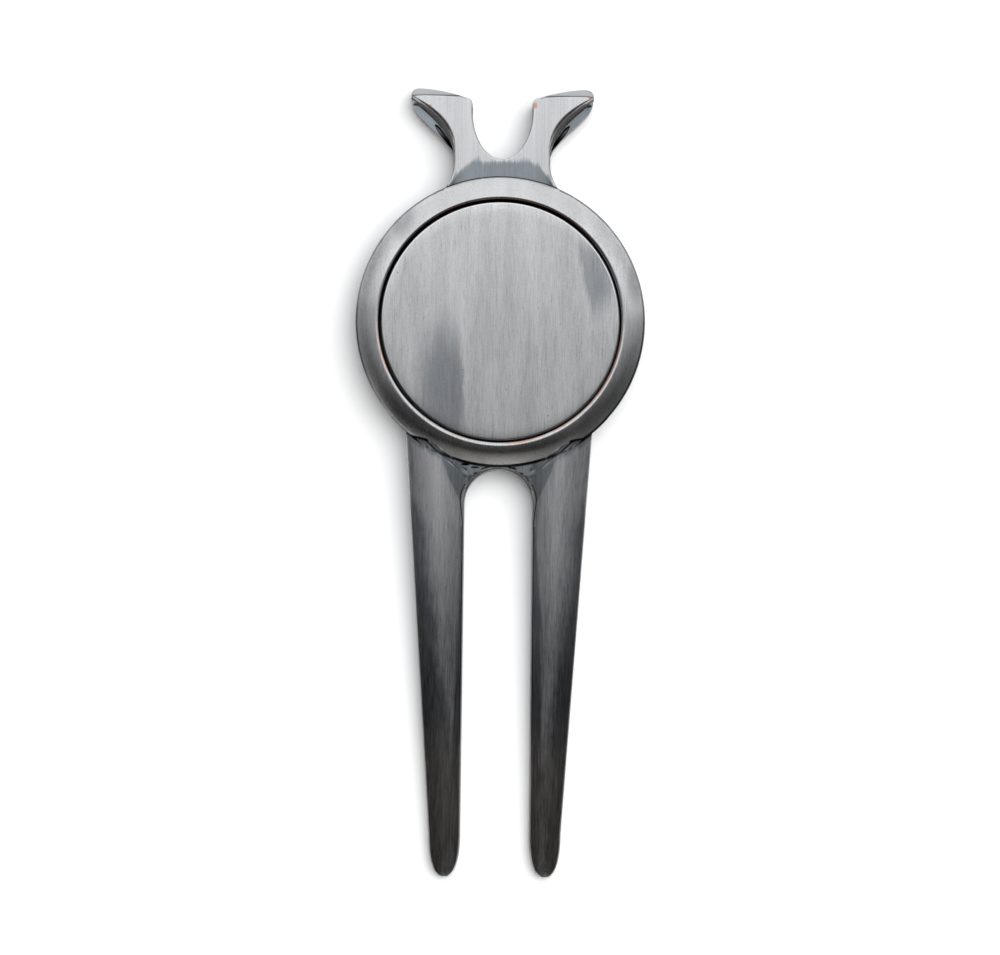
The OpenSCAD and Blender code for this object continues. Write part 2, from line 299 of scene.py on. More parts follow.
def ring_profile():
    """The ring's [r, z] outline, from the back's middle round to the pocket's middle."""
    back = [[r, 0] for r in np.linspace(0, RING_R - BACK_ROUND, 3)]
    edge = [
        [RING_R - BACK_ROUND * (1 - math.sin(a)), BACK_ROUND * (1 - math.cos(a))]
        for a in np.linspace(0.12, QUARTER, 12)
    ]
    corner_r = RING_R - BAND_EDGE_ROUND
    corner_turn = math.asin((corner_r - ARC_CENTRE_R) / ARC_R)
    rim_z = band_z(corner_r)
    wall_z = rim_z - 0.35
    slope = [[RING_R, blend(BACK_ROUND, wall_z, t)] for t in np.linspace(0.1, 1, 6)]
    # A quarter turn of a small round joins the wall to the band.
    for t in np.linspace(0, 1, 9)[1:-1]:
        bow = (1 - t) * (1 - t), 2 * t * (1 - t), t * t
        knee_z = rim_z - BAND_EDGE_ROUND * math.tan(corner_turn)
        slope.append([bow[0] * RING_R + bow[1] * RING_R + bow[2] * corner_r,
                      bow[0] * wall_z + bow[1] * knee_z + bow[2] * rim_z])
    mouth = RECESS_R + MOUTH_CHAMFER
    slope += [[r, band_z(r)] for r in np.linspace(corner_r, mouth + 0.1, 40)]
    lip = [
        [mouth - MOUTH_CHAMFER * math.sin(a), RING_H - 0.004 - MOUTH_DROP * (1 - math.cos(a))]
        for a in np.linspace(0, QUARTER, 11)
    ]
    wall = [[RECESS_R, z] for z in np.linspace(RING_H - MOUTH_DROP - 0.1, RECESS_FLOOR + 0.15, 5)]
    floor = [[RECESS_R - 0.03, RECESS_FLOOR + 0.04], [RECESS_R - 0.15, RECESS_FLOOR]]
    floor += [[r, RECESS_FLOOR] for r in np.linspace(RECESS_R - 0.8, POCKET_R + 0.5, 3)]
    pocket = [[POCKET_R + 0.05, RECESS_FLOOR], [POCKET_R, RECESS_FLOOR - 0.05]]
    pocket += [[POCKET_R, z] for z in np.linspace(RECESS_FLOOR - 0.4, POCKET_FLOOR, 4)]
    pocket += [[r, POCKET_FLOOR] for r in np.linspace(POCKET_R - 0.5, 0, 3)]
    return back + edge + slope + lip + wall + floor + pocket


# ---- fork ----


def outer_half_w(y):
    return blend(ROOT_HALF_W, END_HALF_W, part_way(-FORK_ROOT_Y, -TIP_START_Y, y))


def inner_half_w(y):
    """Half of the width of the gap between the prongs at y."""
    return blend(ARCH_R, GAP_END_HALF_W, part_way(ARCH_Y, -TIP_START_Y, y))


def crown_z(x, y):
    """Height of a prong's crowned top at x, y."""
    way = part_way(-FORK_ROOT_Y, -TIP_Y, y)
    edge = blend(EDGE_ROOT_Z, EDGE_TIP_Z, way)
    crown = blend(CROWN_ROOT_Z, CROWN_TIP_Z, way)
    middle = (inner_half_w(y) + outer_half_w(y)) / 2
    half = (outer_half_w(y) - inner_half_w(y)) / 2 + 0.15
    tip = part_way(-TIP_START_Y, -TIP_Y - 0.4, y)
    rise = (crown - edge) * np.sqrt(1 - tip**2)
    return edge - 0.25 * tip**3 + rise * (1 - clip01(np.abs(x - middle) / half) ** CROWN_POWER)


def tip_arc(x):
    """Points of the tip's blunt, nearly elliptic end at these x, and the directions outwards."""
    across = (x - TIP_MIDDLE) / TIP_HALF_W
    lean = np.abs(across) ** (TIP_POWER - 1)
    ahead = np.maximum(1 - lean * np.abs(across), 0) ** (1 / TIP_POWER)
    points = np.stack([x, -TIP_START_Y - TIP_LEN * ahead], axis=-1)
    out = np.stack([np.sign(across) * lean / TIP_HALF_W, -(ahead ** (TIP_POWER - 1)) / TIP_LEN], axis=-1)
    return points, unit(out)


def fork_edges():
    """The fork's right half, station by station from the arch's top to the tip: inner and outer points,
    with their outward directions, and the crease between the web and the crown."""
    turns = np.linspace(QUARTER, 0, 110)
    ray = np.stack([np.cos(turns), np.sin(turns)], axis=1)
    centre = np.array([0, ARCH_Y])
    arch = centre + ray * ARCH_R
    # Each ray runs out to the fork's side, or to the root circle inside the ring.
    slope = (ROOT_HALF_W - END_HALF_W) / (TIP_START_Y - FORK_ROOT_Y)
    side_at_arch = ROOT_HALF_W + slope * (ARCH_Y + FORK_ROOT_Y)
    to_side = side_at_arch / np.maximum(ray[:, 0] - slope * ray[:, 1], 1e-6)
    towards = ray[:, 1] * ARCH_Y
    to_root = -towards - np.sqrt(np.maximum(towards**2 - ARCH_Y**2 + ROOT_R**2, 0))
    to_root = np.where(towards**2 - ARCH_Y**2 + ROOT_R**2 > 0, to_root, 99)
    at_side = to_side < to_root
    reach = np.where(at_side, to_side, to_root)
    side_out = unit(np.array([1.0, -slope]))
    root = centre + ray * reach[:, None]
    root_out = np.where(at_side[:, None], side_out, unit(-root))

    ys = np.linspace(ARCH_Y, -TIP_START_Y, 130)[1:]
    inner = np.stack([inner_half_w(ys), ys], axis=1)
    outer = np.stack([outer_half_w(ys), ys], axis=1)

    # The tips' sides stop short of the end, which is an arc of its own.
    turns = np.linspace(0, math.radians(76), 30)[1:]
    tip_inner, tip_in_out = tip_arc(TIP_MIDDLE - TIP_HALF_W * np.cos(turns))
    tip_outer, tip_out_out = tip_arc(TIP_MIDDLE + TIP_HALF_W * np.cos(turns))

    bearing = np.arctan2(CREASE[:, 1] - ARCH_Y, CREASE[:, 0])
    distance = np.hypot(CREASE[:, 0], CREASE[:, 1] - ARCH_Y)
    on_arch = np.interp(np.arctan2(ray[:, 1], ray[:, 0]), bearing, distance, right=99)
    crease_arch = centre + ray * np.minimum(on_arch, reach - 0.8)[:, None]
    crease_x = np.interp(ys, CREASE[:, 1], CREASE[:, 0], left=0)
    crease_x = np.maximum(crease_x, inner_half_w(ys) + 0.5)
    crease = np.stack([crease_x, ys], axis=1)
    crease_tip = tip_inner + (tip_outer - tip_inner) * ((crease_x[-1] - inner[-1, 0]) / (2 * TIP_HALF_W))

    count = len(ys)
    return (
        np.concatenate([arch, inner, tip_inner]),
        np.concatenate([-ray, np.tile([-1.0, 0.0], (count, 1)), tip_in_out]),
        np.concatenate([root, outer, tip_outer]),
        np.concatenate([root_out, np.tile(side_out, (count, 1)), tip_out_out]),
        np.concatenate([crease_arch, crease, crease_tip]),
    )


def fork_shell():
    """Both prongs and the web between them and the ring."""
    inner, inner_out, outer, outer_out, crease = fork_edges()
    web_steps, crown_steps = 16, 40
    shares = (1 - np.cos(np.linspace(0, math.pi, crown_steps))) / 2
    shares = 0.5 * shares + 0.5 * np.linspace(0, 1, crown_steps)

    def spread(inset):
        start = inner - inner_out * inset
        end = outer - outer_out * inset
        web = [blend(start, crease, t) for t in np.linspace(0, 1, web_steps, endpoint=False)]
        crown = [blend(crease, end, t) for t in shares]
        grid = np.stack(web + crown, axis=1)
        points, out = tip_arc(grid[-1, :, 0] if inset == 0 else last_x)
        grid[-1] = points - out * inset
        return grid

    last_x = spread(0)[-1, :, 0]

    flat = spread(TOP_ROUND)
    z = crown_z(flat[..., 0], flat[..., 1])
    top = np.concatenate([flat, z[..., None]], axis=2)

    back = spread(BACK_EDGE_ROUND)
    bottom = np.concatenate([back, np.zeros(back.shape[:2] + (1,))], axis=2)

    end, end_out = tip_arc(last_x[1:])
    edge = np.concatenate([inner, end, outer[-2::-1]])
    out = np.concatenate([inner_out, end_out, outer_out[-2::-1]])
    edge_z = np.concatenate([z[:, 0], z[-1, 1:], z[-2::-1, -1]])
    rim = []
    for a in np.linspace(0, QUARTER, 7)[1:]:
        rim.append((TOP_ROUND * (1 - math.sin(a)), edge_z - 0.3 * (1 - math.cos(a))))
    for share in (0.3, 0.65, 1):
        bow = SIDE_BOW * math.sin(math.pi * share / 2)
        rim.append((-bow, blend(edge_z - 0.3, BACK_EDGE_ROUND, share)))
    for a in np.linspace(0, QUARTER, 8)[1:-1]:
        inset = BACK_EDGE_ROUND * (1 - math.cos(a)) - SIDE_BOW * math.cos(a)
        rim.append((inset, BACK_EDGE_ROUND * (1 - math.sin(a)) + 0 * edge_z))
    points = [np.concatenate([edge - out * inset, height[:, None]], axis=1) for inset, height in rim]
    return mirrored_shell("fork", top, bottom, np.stack(points, axis=1))


# ---- neck and ears ----


def root_flare(y):
    """How far the neck widens on each side towards the ring."""
    return 1.05 * ((NECK_Y - np.clip(y, FLARE_LOW_Y, NECK_Y)) / 2.8) ** 2


def ear_lines():
    """Right-hand outlines, from the root circle up to the ear's tip: the front face's edge, the shoulder's
    foot and the flange's edge."""
    ys = np.linspace(11.4, EAR_END_Y, 400)
    reach = EAR_HALF_W - NECK_HALF_W
    flare = root_flare(ys)
    way = part_way(17.3, EAR_END_Y, ys)
    face = NECK_HALF_W - 0.22 + flare + (reach + 0.07) * part_way(17.2, BEVEL_Y, ys) ** 3
    foot = NECK_HALF_W - 0.1 + flare + (reach + 0.06) * way**1.9
    wide = NECK_HALF_W + flare + reach * ease(way)
    lines = [np.stack([x, ys], axis=1) for x in (face, foot, wide)]
    lines[0] = np.concatenate([lines[0], [[EAR_HALF_W - 0.28, BEVEL_Y]]])
    return lines


def notch_line():
    """The notch's right side, from its bottom up to the end of the rounded inner corner."""
    turns = np.linspace(QUARTER, 0, 120)
    low = np.stack([NOTCH_HALF_W * np.cos(turns), NOTCH_Y + NOTCH_END_LEN * (1 - np.sin(turns))], axis=1)
    turns = np.linspace(math.pi, QUARTER, 40)
    corner_x, corner_y = NOTCH_HALF_W + CORNER_R, BEVEL_Y - 0.05 - CORNER_R
    corner = np.stack([corner_x + CORNER_R * np.cos(turns), corner_y + CORNER_R * np.sin(turns)], axis=1)
    return np.concatenate([low, corner])


def end_line():
    """The ear's end from the inner corner, along its sloping top and round its outer corner."""
    start = notch_line()[-1]
    far_x = EAR_HALF_W - CORNER_R
    t = np.linspace(0, 1, 60)[:-1]
    top = np.stack([blend(start[0], far_x, t), blend(start[1], EAR_Y, 1 - (1 - t) ** 1.6)], axis=1)
    turns = np.linspace(QUARTER, 0, 30)
    far_y = EAR_Y - CORNER_R
    corner = np.stack([far_x + CORNER_R * np.cos(turns), far_y + CORNER_R * np.sin(turns)], axis=1)
    return np.concatenate([top, corner, [[EAR_HALF_W, EAR_END_Y]]])


def flange_slot(x, y):
    """1 in the narrow pointed slot down the flange under an ear, and 0 outside it."""
    start, run = SLOT_TOP, SLOT_FOOT - SLOT_TOP
    length = np.hypot(run[0], run[1])
    t = ((x - start[0]) * run[0] + (y - start[1]) * run[1]) / length**2
    away = np.abs((x - start[0]) * run[1] - (y - start[1]) * run[0]) / length
    half = SLOT_HALF_W * np.sqrt(clip01(4 * t * (1 - t)))
    return part_way(half + 0.04, half - 0.05, away) * ((t > 0) & (t < 1))


def outward(line, side):
    """Unit directions across a line, to its left (side 1) or right (side -1)."""
    step = np.gradient(line, axis=0)
    return unit(np.stack([-step[:, 1], step[:, 0]], axis=1)) * side


def scoop_rim_y(x):
    """Where the polished face ends and the scoop in front of the ring starts."""
    return 16.75 - 2.6 * clip01((np.abs(x) - 3.1) / 2.4) ** 1.5


def face_z(x, y):
    """Height of the neck's and ears' front: flat, with a shallow scoop where it meets the ring."""
    rim_y = scoop_rim_y(x)
    ring_y = np.sqrt(np.maximum(RING_R**2 - x**2, 0))
    depth = clip01((rim_y - y) / np.maximum(rim_y - ring_y, 0.35))
    return FACE_Z - SCOOP_DEPTH * depth


def coons(inner, outer, start, end):
    """A grid of points spanned by four lines, which share their corners."""
    s = np.linspace(0, 1, len(inner))[:, None, None]
    t = np.linspace(0, 1, len(start))[None, :, None]
    across = (1 - t) * inner[:, None] + t * outer[:, None]
    length = (1 - s) * start[None] + s * end[None]
    corners = (1 - s) * ((1 - t) * inner[0] + t * outer[0]) + s * ((1 - t) * inner[-1] + t * outer[-1])
    return across + length - corners


def at_height(flat, heights):
    """A row of points from [x, y] points and their heights."""
    return np.concatenate([flat, np.broadcast_to(heights, flat.shape[:1])[:, None]], axis=1)


def back_round(edge, out):
    """The rows that round a wall's foot in to the flat back."""
    radius = BACK_EDGE_ROUND
    turns = np.linspace(0, QUARTER, 7)[1:-1]
    return [at_height(edge - out * radius * (1 - math.cos(t)), radius * (1 - math.sin(t))) for t in turns]


def wall_down(edge, out, top_z):
    """The rows of a straight wall from this height and of the round at its foot."""
    shares = np.linspace(0, 1, 26)[1:]
    return [at_height(edge, blend(top_z, BACK_EDGE_ROUND, t)) for t in shares] + back_round(edge, out)


def notch_rim(notch, out, top_z):
    """The notch's side: a small round at the top and the wall."""
    insets = [(TOP_ROUND * (1 - math.sin(t)), NOTCH_TOP_DROP * (1 - math.cos(t))) for t in TURNS]
    rows = [at_height(notch - out * inset, top_z - drop) for inset, drop in insets]
    return np.stack(rows + wall_down(notch, out, top_z - NOTCH_TOP_DROP), axis=1)


def end_rim(bevel, end, out, top_z):
    """The ear's end: the bevel down to the end line and the wall."""
    fall = np.linalg.norm(end - bevel, axis=1) * BEVEL_SLOPE
    rows = [at_height(blend(bevel, end, t), top_z - fall * t**1.15) for t in np.linspace(0, 1, 10)[1:]]
    return np.stack(rows + wall_down(end, out, top_z - fall), axis=1)


def shoulder_rim(face, foot, wide, out, top_z):
    """The outer side: the rolled shoulder, its crisp foot, and the flange with its slot."""
    sunk = np.minimum(SHOULDER_Z, top_z - 0.3)
    rows = [at_height(blend(face, foot, math.sin(t)), sunk + (top_z - sunk) * math.cos(t)) for t in TURNS]
    gap = wide - foot
    width = np.linalg.norm(gap, axis=1, keepdims=True)
    ledge = foot + gap * np.minimum(0.07 / np.maximum(width, 1e-6), 0.3)
    inner_z = np.minimum(FLANGE_Z + 0.03, sunk - 0.25)
    rows.append(at_height(ledge, sunk - 0.03))
    rows.append(at_height(ledge + gap * 0.02, blend(sunk - 0.03, inner_z, 0.5)))
    rows.append(at_height(ledge + gap * 0.04, inner_z))
    for share in np.linspace(0.08, 0.96, 18):
        flat = blend(ledge, wide, share)
        cut = SLOT_DEPTH * flange_slot(flat[:, 0], flat[:, 1])
        rows.append(at_height(flat, blend(inner_z, FLANGE_Z, share) - cut))
    rows.append(at_height(blend(ledge, wide, 0.99), FLANGE_Z - 0.05))
    rows += [at_height(wide, height) for height in (FLANGE_Z - 0.16, 1.0, BACK_EDGE_ROUND)]
    return np.stack(rows + back_round(wide, out), axis=1)


def neck_shell():
    """The neck and both ears."""
    stations, columns = 150, 64
    a = np.linspace(0, 1, stations)
    # Shares of the outer lines' length that lie across from even shares of the notch's.
    b = np.interp(a, [0, 0.265, 0.47, 0.785, 0.865, 1], [0, 0.34, 0.62, 0.84, 0.93, 1])
    e = np.linspace(0, 1, columns)
    face, foot, wide = ear_lines()
    root_turn = np.linspace(0, math.asin(face[0, 0] / ROOT_R), 60)
    root = np.stack([ROOT_R * np.sin(root_turn), ROOT_R * np.cos(root_turn)], axis=1)
    face, foot, wide = (along(np.concatenate([root, line]), b) for line in (face, foot, wide))
    notch = along(notch_line(), a)
    notch_out = outward(notch, 1)
    notch_out[0] = [0, 1]
    end = along(end_line(), e)
    end_out = outward(end, 1)

    # The front face ends on the straight line where the end bevel starts.
    notch_in = notch - notch_out * TOP_ROUND
    bevel = blend(notch_in[-1], face[-1], e[:, None])
    bevel[:, 1] = blend(BEVEL_Y, notch_in[-1, 1], (1 - e) ** 6)
    front = coons(notch_in, face, blend(notch_in[0], face[0], e[:, None]), bevel)
    front_z = face_z(front[..., 0], front[..., 1])
    top = np.concatenate([front, front_z[..., None]], axis=2)

    wide_out = outward(wide, -1)
    wide_out[0] = [0, -1]
    notch_back = notch - notch_out * BACK_EDGE_ROUND
    wide_back = wide - wide_out * BACK_EDGE_ROUND
    end_back = end - end_out * BACK_EDGE_ROUND
    end_back[0], end_back[-1] = notch_back[-1], wide_back[-1]
    back = coons(notch_back, wide_back, blend(notch_back[0], wide_back[0], e[:, None]), end_back)
    bottom = np.concatenate([back, np.zeros((stations, columns, 1))], axis=2)

    inner = notch_rim(notch, notch_out, front_z[:, 0])
    last = end_rim(bevel, end, end_out, front_z[-1])
    outer = shoulder_rim(face, foot, wide, wide_out, front_z[:, -1])
    # The end's and the outer side's rows grow into each other at the ear's tip.
    corner = (last[-1] + outer[-1]) / 2
    outer = blend(outer, corner[None], ease(part_way(0.955, 1, b))[:, None, None])
    last = blend(last, corner[None], ease(part_way(0.93, 1, e))[:, None, None])
    return mirrored_shell("neck", top, bottom, np.concatenate([inner, last[1:], outer[-2::-1]]))


# ---- masks ----


def store(piece, **masks):
    for name, values in masks.items():
        mask = piece.data.attributes.new(name, "FLOAT", "POINT")
        mask.data.foreach_set("value", np.asarray(values, float))


def points_mm(piece):
    """The piece's points, in millimetres, and the directions that they face."""
    mesh = piece.data
    points = np.empty(len(mesh.vertices) * 3)
    mesh.vertices.foreach_get("co", points)
    normals = np.array([n.vector for n in mesh.vertex_normals])
    return points.reshape(-1, 3) / MM, normals


# Small places on the ears that are worn to the copper: x, y and half sizes in millimetres.
WORN_SPOTS = ((9.35, 23.55, 0.5, 0.25), (3.45, 22.7, 0.17, 0.3), (-7.6, 22.6, 0.24, 0.12))
# The width of the plating left along the left prong's outer edge, and how much less the right's is:
# painted light that makes the right prong's outer side lighter.
PLATED_Y = (-45, -30, -22, -18)
PLATED_W = (1.1, 1.6, 1.7, 0.3)
RIGHT_OUTER_LIGHTER = (0.6, 0.6, 0.25, 0.1)


def bump_of(distance, width):
    return np.exp(-((distance / width) ** 2))


class CastingPoints:
    """The casting's points in millimetres, and which surface each one lies on."""

    def __init__(self, piece):
        points, normals = points_mm(piece)
        side, y, z = points.T
        x, up = np.abs(side), normals[:, 2]
        r = np.hypot(x, y)
        self.side, self.x, self.y, self.z, self.r, self.up = side, x, y, z, r, up
        self.band = (r > 12.98) & (r < RING_R + 0.01)
        self.band &= np.abs(z - band_z(np.clip(r, 13.0, 15.1))) < 0.06
        self.lip = (r > RECESS_R - 0.02) & (r < 13.1) & (z > RING_H - MOUTH_DROP - 0.03)
        self.face = (y > 11) & (r > 15.0) & (up > 0.6) & (y < BEVEL_Y + 0.02)
        self.face &= np.abs(z - face_z(x, y)) < 0.08
        self.bevel = (y > BEVEL_Y - 0.6) & (up > 0.3) & (x > 3.5) & ~self.face
        self.fork = (y < -12) & (r > RING_R - 0.05) & ~self.band
        self.prong = self.fork & (up > 0.35) & (z > 0.5)
        self.edge = self.fork & (up > 0.15) & (up < 0.8) & (z > 0.5)
        self.shoulder = (y > 17.5) & (x > 4.8) & (z > SHOULDER_Z) & (up > 0.05)
        self.shoulder &= ~self.face & ~self.bevel
        # Distances from the crease on to the crown, and from the gap's edge on to the prong.
        self.crease = x - np.interp(y, CREASE[:, 1], CREASE[:, 0], left=0)
        self.arch = np.hypot(x, np.maximum(y - ARCH_Y, 0)) - inner_half_w(y)
        self.arch_band = self.prong & (y > -21.5) & (self.arch > 0.08) & (self.arch < 0.36)
        self.web = part_way(0.7, -0.3, self.crease) * part_way(-24, -21, y)


def prong_polish(at):
    """Distances inside the polished area, which fades down the prongs and returns at their ends."""
    x, y = at.x, at.y
    on_right = at.side > 0
    # Painted shade: the left side of each prong keeps more dark plating than its right side, as if lit
    # from the right.
    inside = x - inner_half_w(y) - 0.35 - np.interp(y, [-45, -30, -22], [0.3, 0.5, 0.0]) * on_right
    outside = outer_half_w(y) - x - np.interp(y, PLATED_Y, PLATED_W)
    outside += np.interp(y, PLATED_Y, RIGHT_OUTER_LIGHTER) * on_right
    below = at.r - RING_R - 0.4
    prong = np.minimum(at.crease * 4, inside * 2)
    prong = np.minimum(prong, np.minimum(outside * 0.45 + 0.15, below * 1.2))
    return np.clip(prong - 1.1 * part_way(-26, -48, y) + 0.9 * part_way(-54, -58, y), -1.5, 1.3)


def polish_of(at):
    """How far each point lies inside (+) or outside (-) the polished area, in millimetres."""
    x, y = at.x, at.y
    polish = np.full(len(x), -1.5)
    by_neck = (y > 10) & (x < 6)
    polish[at.band] = (1.6 - 2.6 * part_way(14.88, 15.08, at.r) * ~by_neck)[at.band]
    polish[at.lip] = 1.6
    edge_shine = 1.2 * part_way(22.7, 23.3, y)
    polish[at.face] = (np.clip((y - scoop_rim_y(x)) * 1.2, -1.5, 1.5) + edge_shine)[at.face]
    shoulder_foot = np.abs(at.z - SHOULDER_Z + 0.02) < 0.03
    polish[(y > 17.5) & (y < EAR_END_Y) & (x > 5) & shoulder_foot] = 0.5
    polish[at.prong] = prong_polish(at)[at.prong]
    polish[at.arch_band] = 0.3
    return polish


def darken(hollow, where, amount):
    """Raises the painted shade to this amount at these points."""
    hollow[where] = np.maximum(hollow, amount)[where]


def shade_by_ring(at, hollow):
    """Painted shade in the recess, darkest on its wall, and painted dark lines where the fork and the neck
    meet the ring.
    """
    x, y, z, r = at.x, at.y, at.z, at.r
    in_recess = (r < 12.95) & (z < 4.6)
    recess_shade = np.where(z < RECESS_FLOOR + 0.1, 0.3, 0.65)
    hollow[in_recess] = (recess_shade * (1 - 0.9 * part_way(4.35, 4.52, z)))[in_recess]
    band_height = band_z(np.clip(r, 13, 15.19))
    near_ring = (at.up > 0.3) & (z > 2) & ~at.band & (r > 14) & (np.abs(y) > 10)
    gap = np.where(r > RING_R, r - RING_R, np.maximum(z - band_height, 0))
    hollow[near_ring] = 0.9 * bump_of(gap, np.where(y > 0, 0.06, 0.14))[near_ring]
    above = np.maximum(band_height - crown_z(x, y), 0)
    by_prong = at.band & (y < -10) & (x < 10) & (at.crease > -0.2)
    hollow[by_prong] = 0.9 * bump_of(above, 0.1)[by_prong]
    by_web = (y < -11.5) & (r > 14.85) & (r < RING_R + 0.01) & (at.crease < 0.1) & (z > 3)
    darken(hollow, by_web, 0.8 * part_way(14.93, 15.05, r))


def shade_on_fork(at, hollow):
    """Painted shade: a dark line round the gap, darker rounded edges along the prongs, and darker walls.
    """
    y = at.y
    line_at = blend(0.48, 0.12, part_way(-18, -21, y))
    darken(hollow, at.prong, 0.8 * bump_of(at.arch - line_at, 0.1) * part_way(-54, -42, y))
    darken(hollow, at.edge, 0.45)
    hollow[at.fork & (np.abs(at.up) < 0.15)] = 0.5


def shade_on_ears(at, hollow):
    """Painted shade on the shoulders, a painted shadow in the slots and a painted dark line along the
    bevel's top.
    """
    y, z = at.y, at.z
    hollow[at.shoulder] = (0.66 * part_way(FACE_Z - 0.02, FACE_Z - 0.25, z))[at.shoulder]
    slot_shadow = flange_slot(at.x, y) * ((z < FLANGE_Z + 0.05) & (z > 0.5) & (at.up > -0.2))
    darken(hollow, slot_shadow > 0, slot_shadow * blend(0.4, 0.95, part_way(20.4, 19.0, y)))
    darken(hollow, at.bevel, 0.75 * bump_of(y - BEVEL_Y - 0.13, 0.13))


def shade_on_band(at, hollow):
    """Painted shade on the ring's lower sides, and a painted shadow inside its lip, deepest towards the
    upper left.
    """
    side, y, r = at.side, at.y, at.r
    right_side_shade = blend(0.47, 0.6, part_way(0, -8, y)) * part_way(7, 0, y)
    left_side_shade = 0.46 * part_way(7, 1, y) * part_way(-10, -5, y)
    low_side_shade = np.where(side > 0, right_side_shade, left_side_shade) * blend(0.8, 1, part_way(13.8, 14.8, r))
    low_side_shade = (low_side_shade + 0.25 * part_way(14.9, 15.05, r) * part_way(5, 0, y)) * part_way(5, 9, at.x)
    darken(hollow, at.band, low_side_shade)
    # Painted shadow inside the lip, deepest towards the upper left, so the gap looks wider there.
    lip_shadow = part_way(0.6, -0.2, (side - y) / np.maximum(r, 1) * math.sqrt(0.5))
    darken(hollow, at.lip, lip_shadow * bump_of(np.maximum(r - RECESS_R - 0.03, 0), 0.09))


def hollow_of(at):
    """How much painted shade each point gets, from 0 to 1."""
    hollow = np.zeros(len(at.x))
    for lay in (shade_by_ring, shade_on_fork, shade_on_ears, shade_on_band):
        lay(at, hollow)
    return hollow


def rim_of(at):
    """How far it is worn to the copper: 1 along the lip, and more on the worn spots."""
    rim = np.zeros(len(at.x))
    rim[at.lip] = bump_of(at.r - RECESS_R - 0.12, 0.1)[at.lip]
    for at_x, at_y, half_x, half_y in WORN_SPOTS:
        away = np.hypot((at.side - at_x) / half_x, (at.y - at_y) / half_y)
        rim = np.where(at.z > 2.9, np.maximum(rim, 1.7 * bump_of(away, 1.0)), rim)
    return rim


def tone_of(at):
    """The unpolished plating's tone, from brown (-1) to satin (1)."""
    y = at.y
    tone = np.zeros(len(at.x))
    tone[(y > 10) & (at.up > 0.5) & (at.r > 15.0)] = 1
    tone[at.bevel] = 0.5
    tone[at.shoulder] = -1
    tone[at.band] = (-0.6 * part_way(14.85, 15.0, at.r) * part_way(6, 0, y))[at.band]
    tone[at.fork] = (blend(0.5, 1, at.web) - 1.1 * part_way(-34, -46, y))[at.fork]
    tone[at.arch_band | at.edge] = -1
    return tone


def fresh_of(at):
    """Painted sheen (+) and painted shade (-) on the metal's colour: painted sheen on the prongs by the
    ring and at their ends, a duller stretch part way down, and painted shade on the right flange.
    """
    y = at.y
    sheen_along_y = np.interp(y, [-48, -35, -30, -25, -18], [0, -0.18, 0, 0.2, 0.42])
    sheen_along_y = np.where(at.side > 0, np.minimum(sheen_along_y, 0.2), sheen_along_y)
    sheen_along_y = sheen_along_y * (1 - at.web) + 0.4 * part_way(-54, -58, y)
    fresh = np.where(at.fork, sheen_along_y, 0.0)
    fresh[(y > 17) & (at.side > 4.8) & (at.z < FLANGE_Z + 0.1)] = -0.2
    return fresh


def paint_casting(piece):
    """Stores the casting's masks. streaky is for the short brushing and lined for long lines."""
    at = CastingPoints(piece)
    streaky = np.ones(len(at.x))
    streaky[at.y > 11] = 0.6
    streaky[at.fork] = 0.7
    lined = blend(0.8, 1.5, part_way(-20, -45, at.y)) * at.fork
    store(piece, polish=polish_of(at), hollow=hollow_of(at), rim=rim_of(at))
    store(piece, tone=tone_of(at), streaky=streaky, lined=lined, fresh=fresh_of(at))


def paint_coin(piece):
    """The marker is polished on its face, with painted shade on its side and its lower rim, and a painted
    highlight along the top of its rim.
    """
    x, y, z = points_mm(piece)[0].T
    r = np.hypot(x, y)
    low_rim_shade = 0.5 * part_way(MARKER_R - 0.9, MARKER_R - 0.1, r) * part_way(0, -8, y)
    side_shade = 0.6 * part_way(4.4, 4.2, z) * part_way(12.2, 12.4, r)
    top_rim_highlight = (z > MARKER_TOP - 0.2) & (r > MARKER_R - 0.2)
    store(piece, polish=np.where(z > MARKER_TOP - 0.3, 1.6, -1), hollow=np.maximum(low_rim_shade, side_shade))
    # Painted highlight: the top of the rim turns white, more so towards +Y.
    store(piece, rim=0 * r, tone=3 * top_rim_highlight * part_way(-2, 7, y), streaky=0 * r + 1)
    store(piece, lined=0 * r, fresh=0 * r)


# ---- the pieces ----

tool = united("tool_casting", [revolve("ring", ring_profile(), 360), fork_shell(), neck_shell()])
smooth(tool, 32)
lay_flat_map(tool)
paint_casting(tool)


def disc_profile(radius, low, high, top_round, back_round, crown=0.0):
    """Half outline of a coin: flat back, rounded edges, and a slightly crowned face."""
    turns = np.linspace(0, QUARTER, 9)
    profile = [[r, low] for r in np.linspace(0, radius - back_round, 6)]
    profile += [
        [radius - back_round * (1 - math.sin(a)), low + back_round * (1 - math.cos(a))] for a in turns[1:]
    ]
    profile += [[radius, blend(low + back_round, high - top_round, 0.5)]]
    rim_top = high - crown
    profile += [
        [radius - top_round * (1 - math.cos(a)), rim_top - top_round * (1 - math.sin(a))] for a in turns
    ]
    inside = radius - top_round
    profile += [[r, high - crown * (r / inside) ** 2] for r in np.linspace(inside, 0, 14)[1:]]
    return profile


coin_outline = disc_profile(MARKER_R, MARKER_FOOT, MARKER_TOP, 0.22, 0.25, 0.03)
marker = revolve("ball_marker_coin", coin_outline, 256)
smooth(marker, 32)
lay_flat_map(marker)
paint_coin(marker)

magnet_outline = disc_profile(MAGNET_R, magnet_low[2], magnet_high[2], 0.15, 0.15)
disc_magnet = revolve("disc_magnet", magnet_outline, 128)
smooth(disc_magnet, 32)
lay_flat_map(disc_magnet)

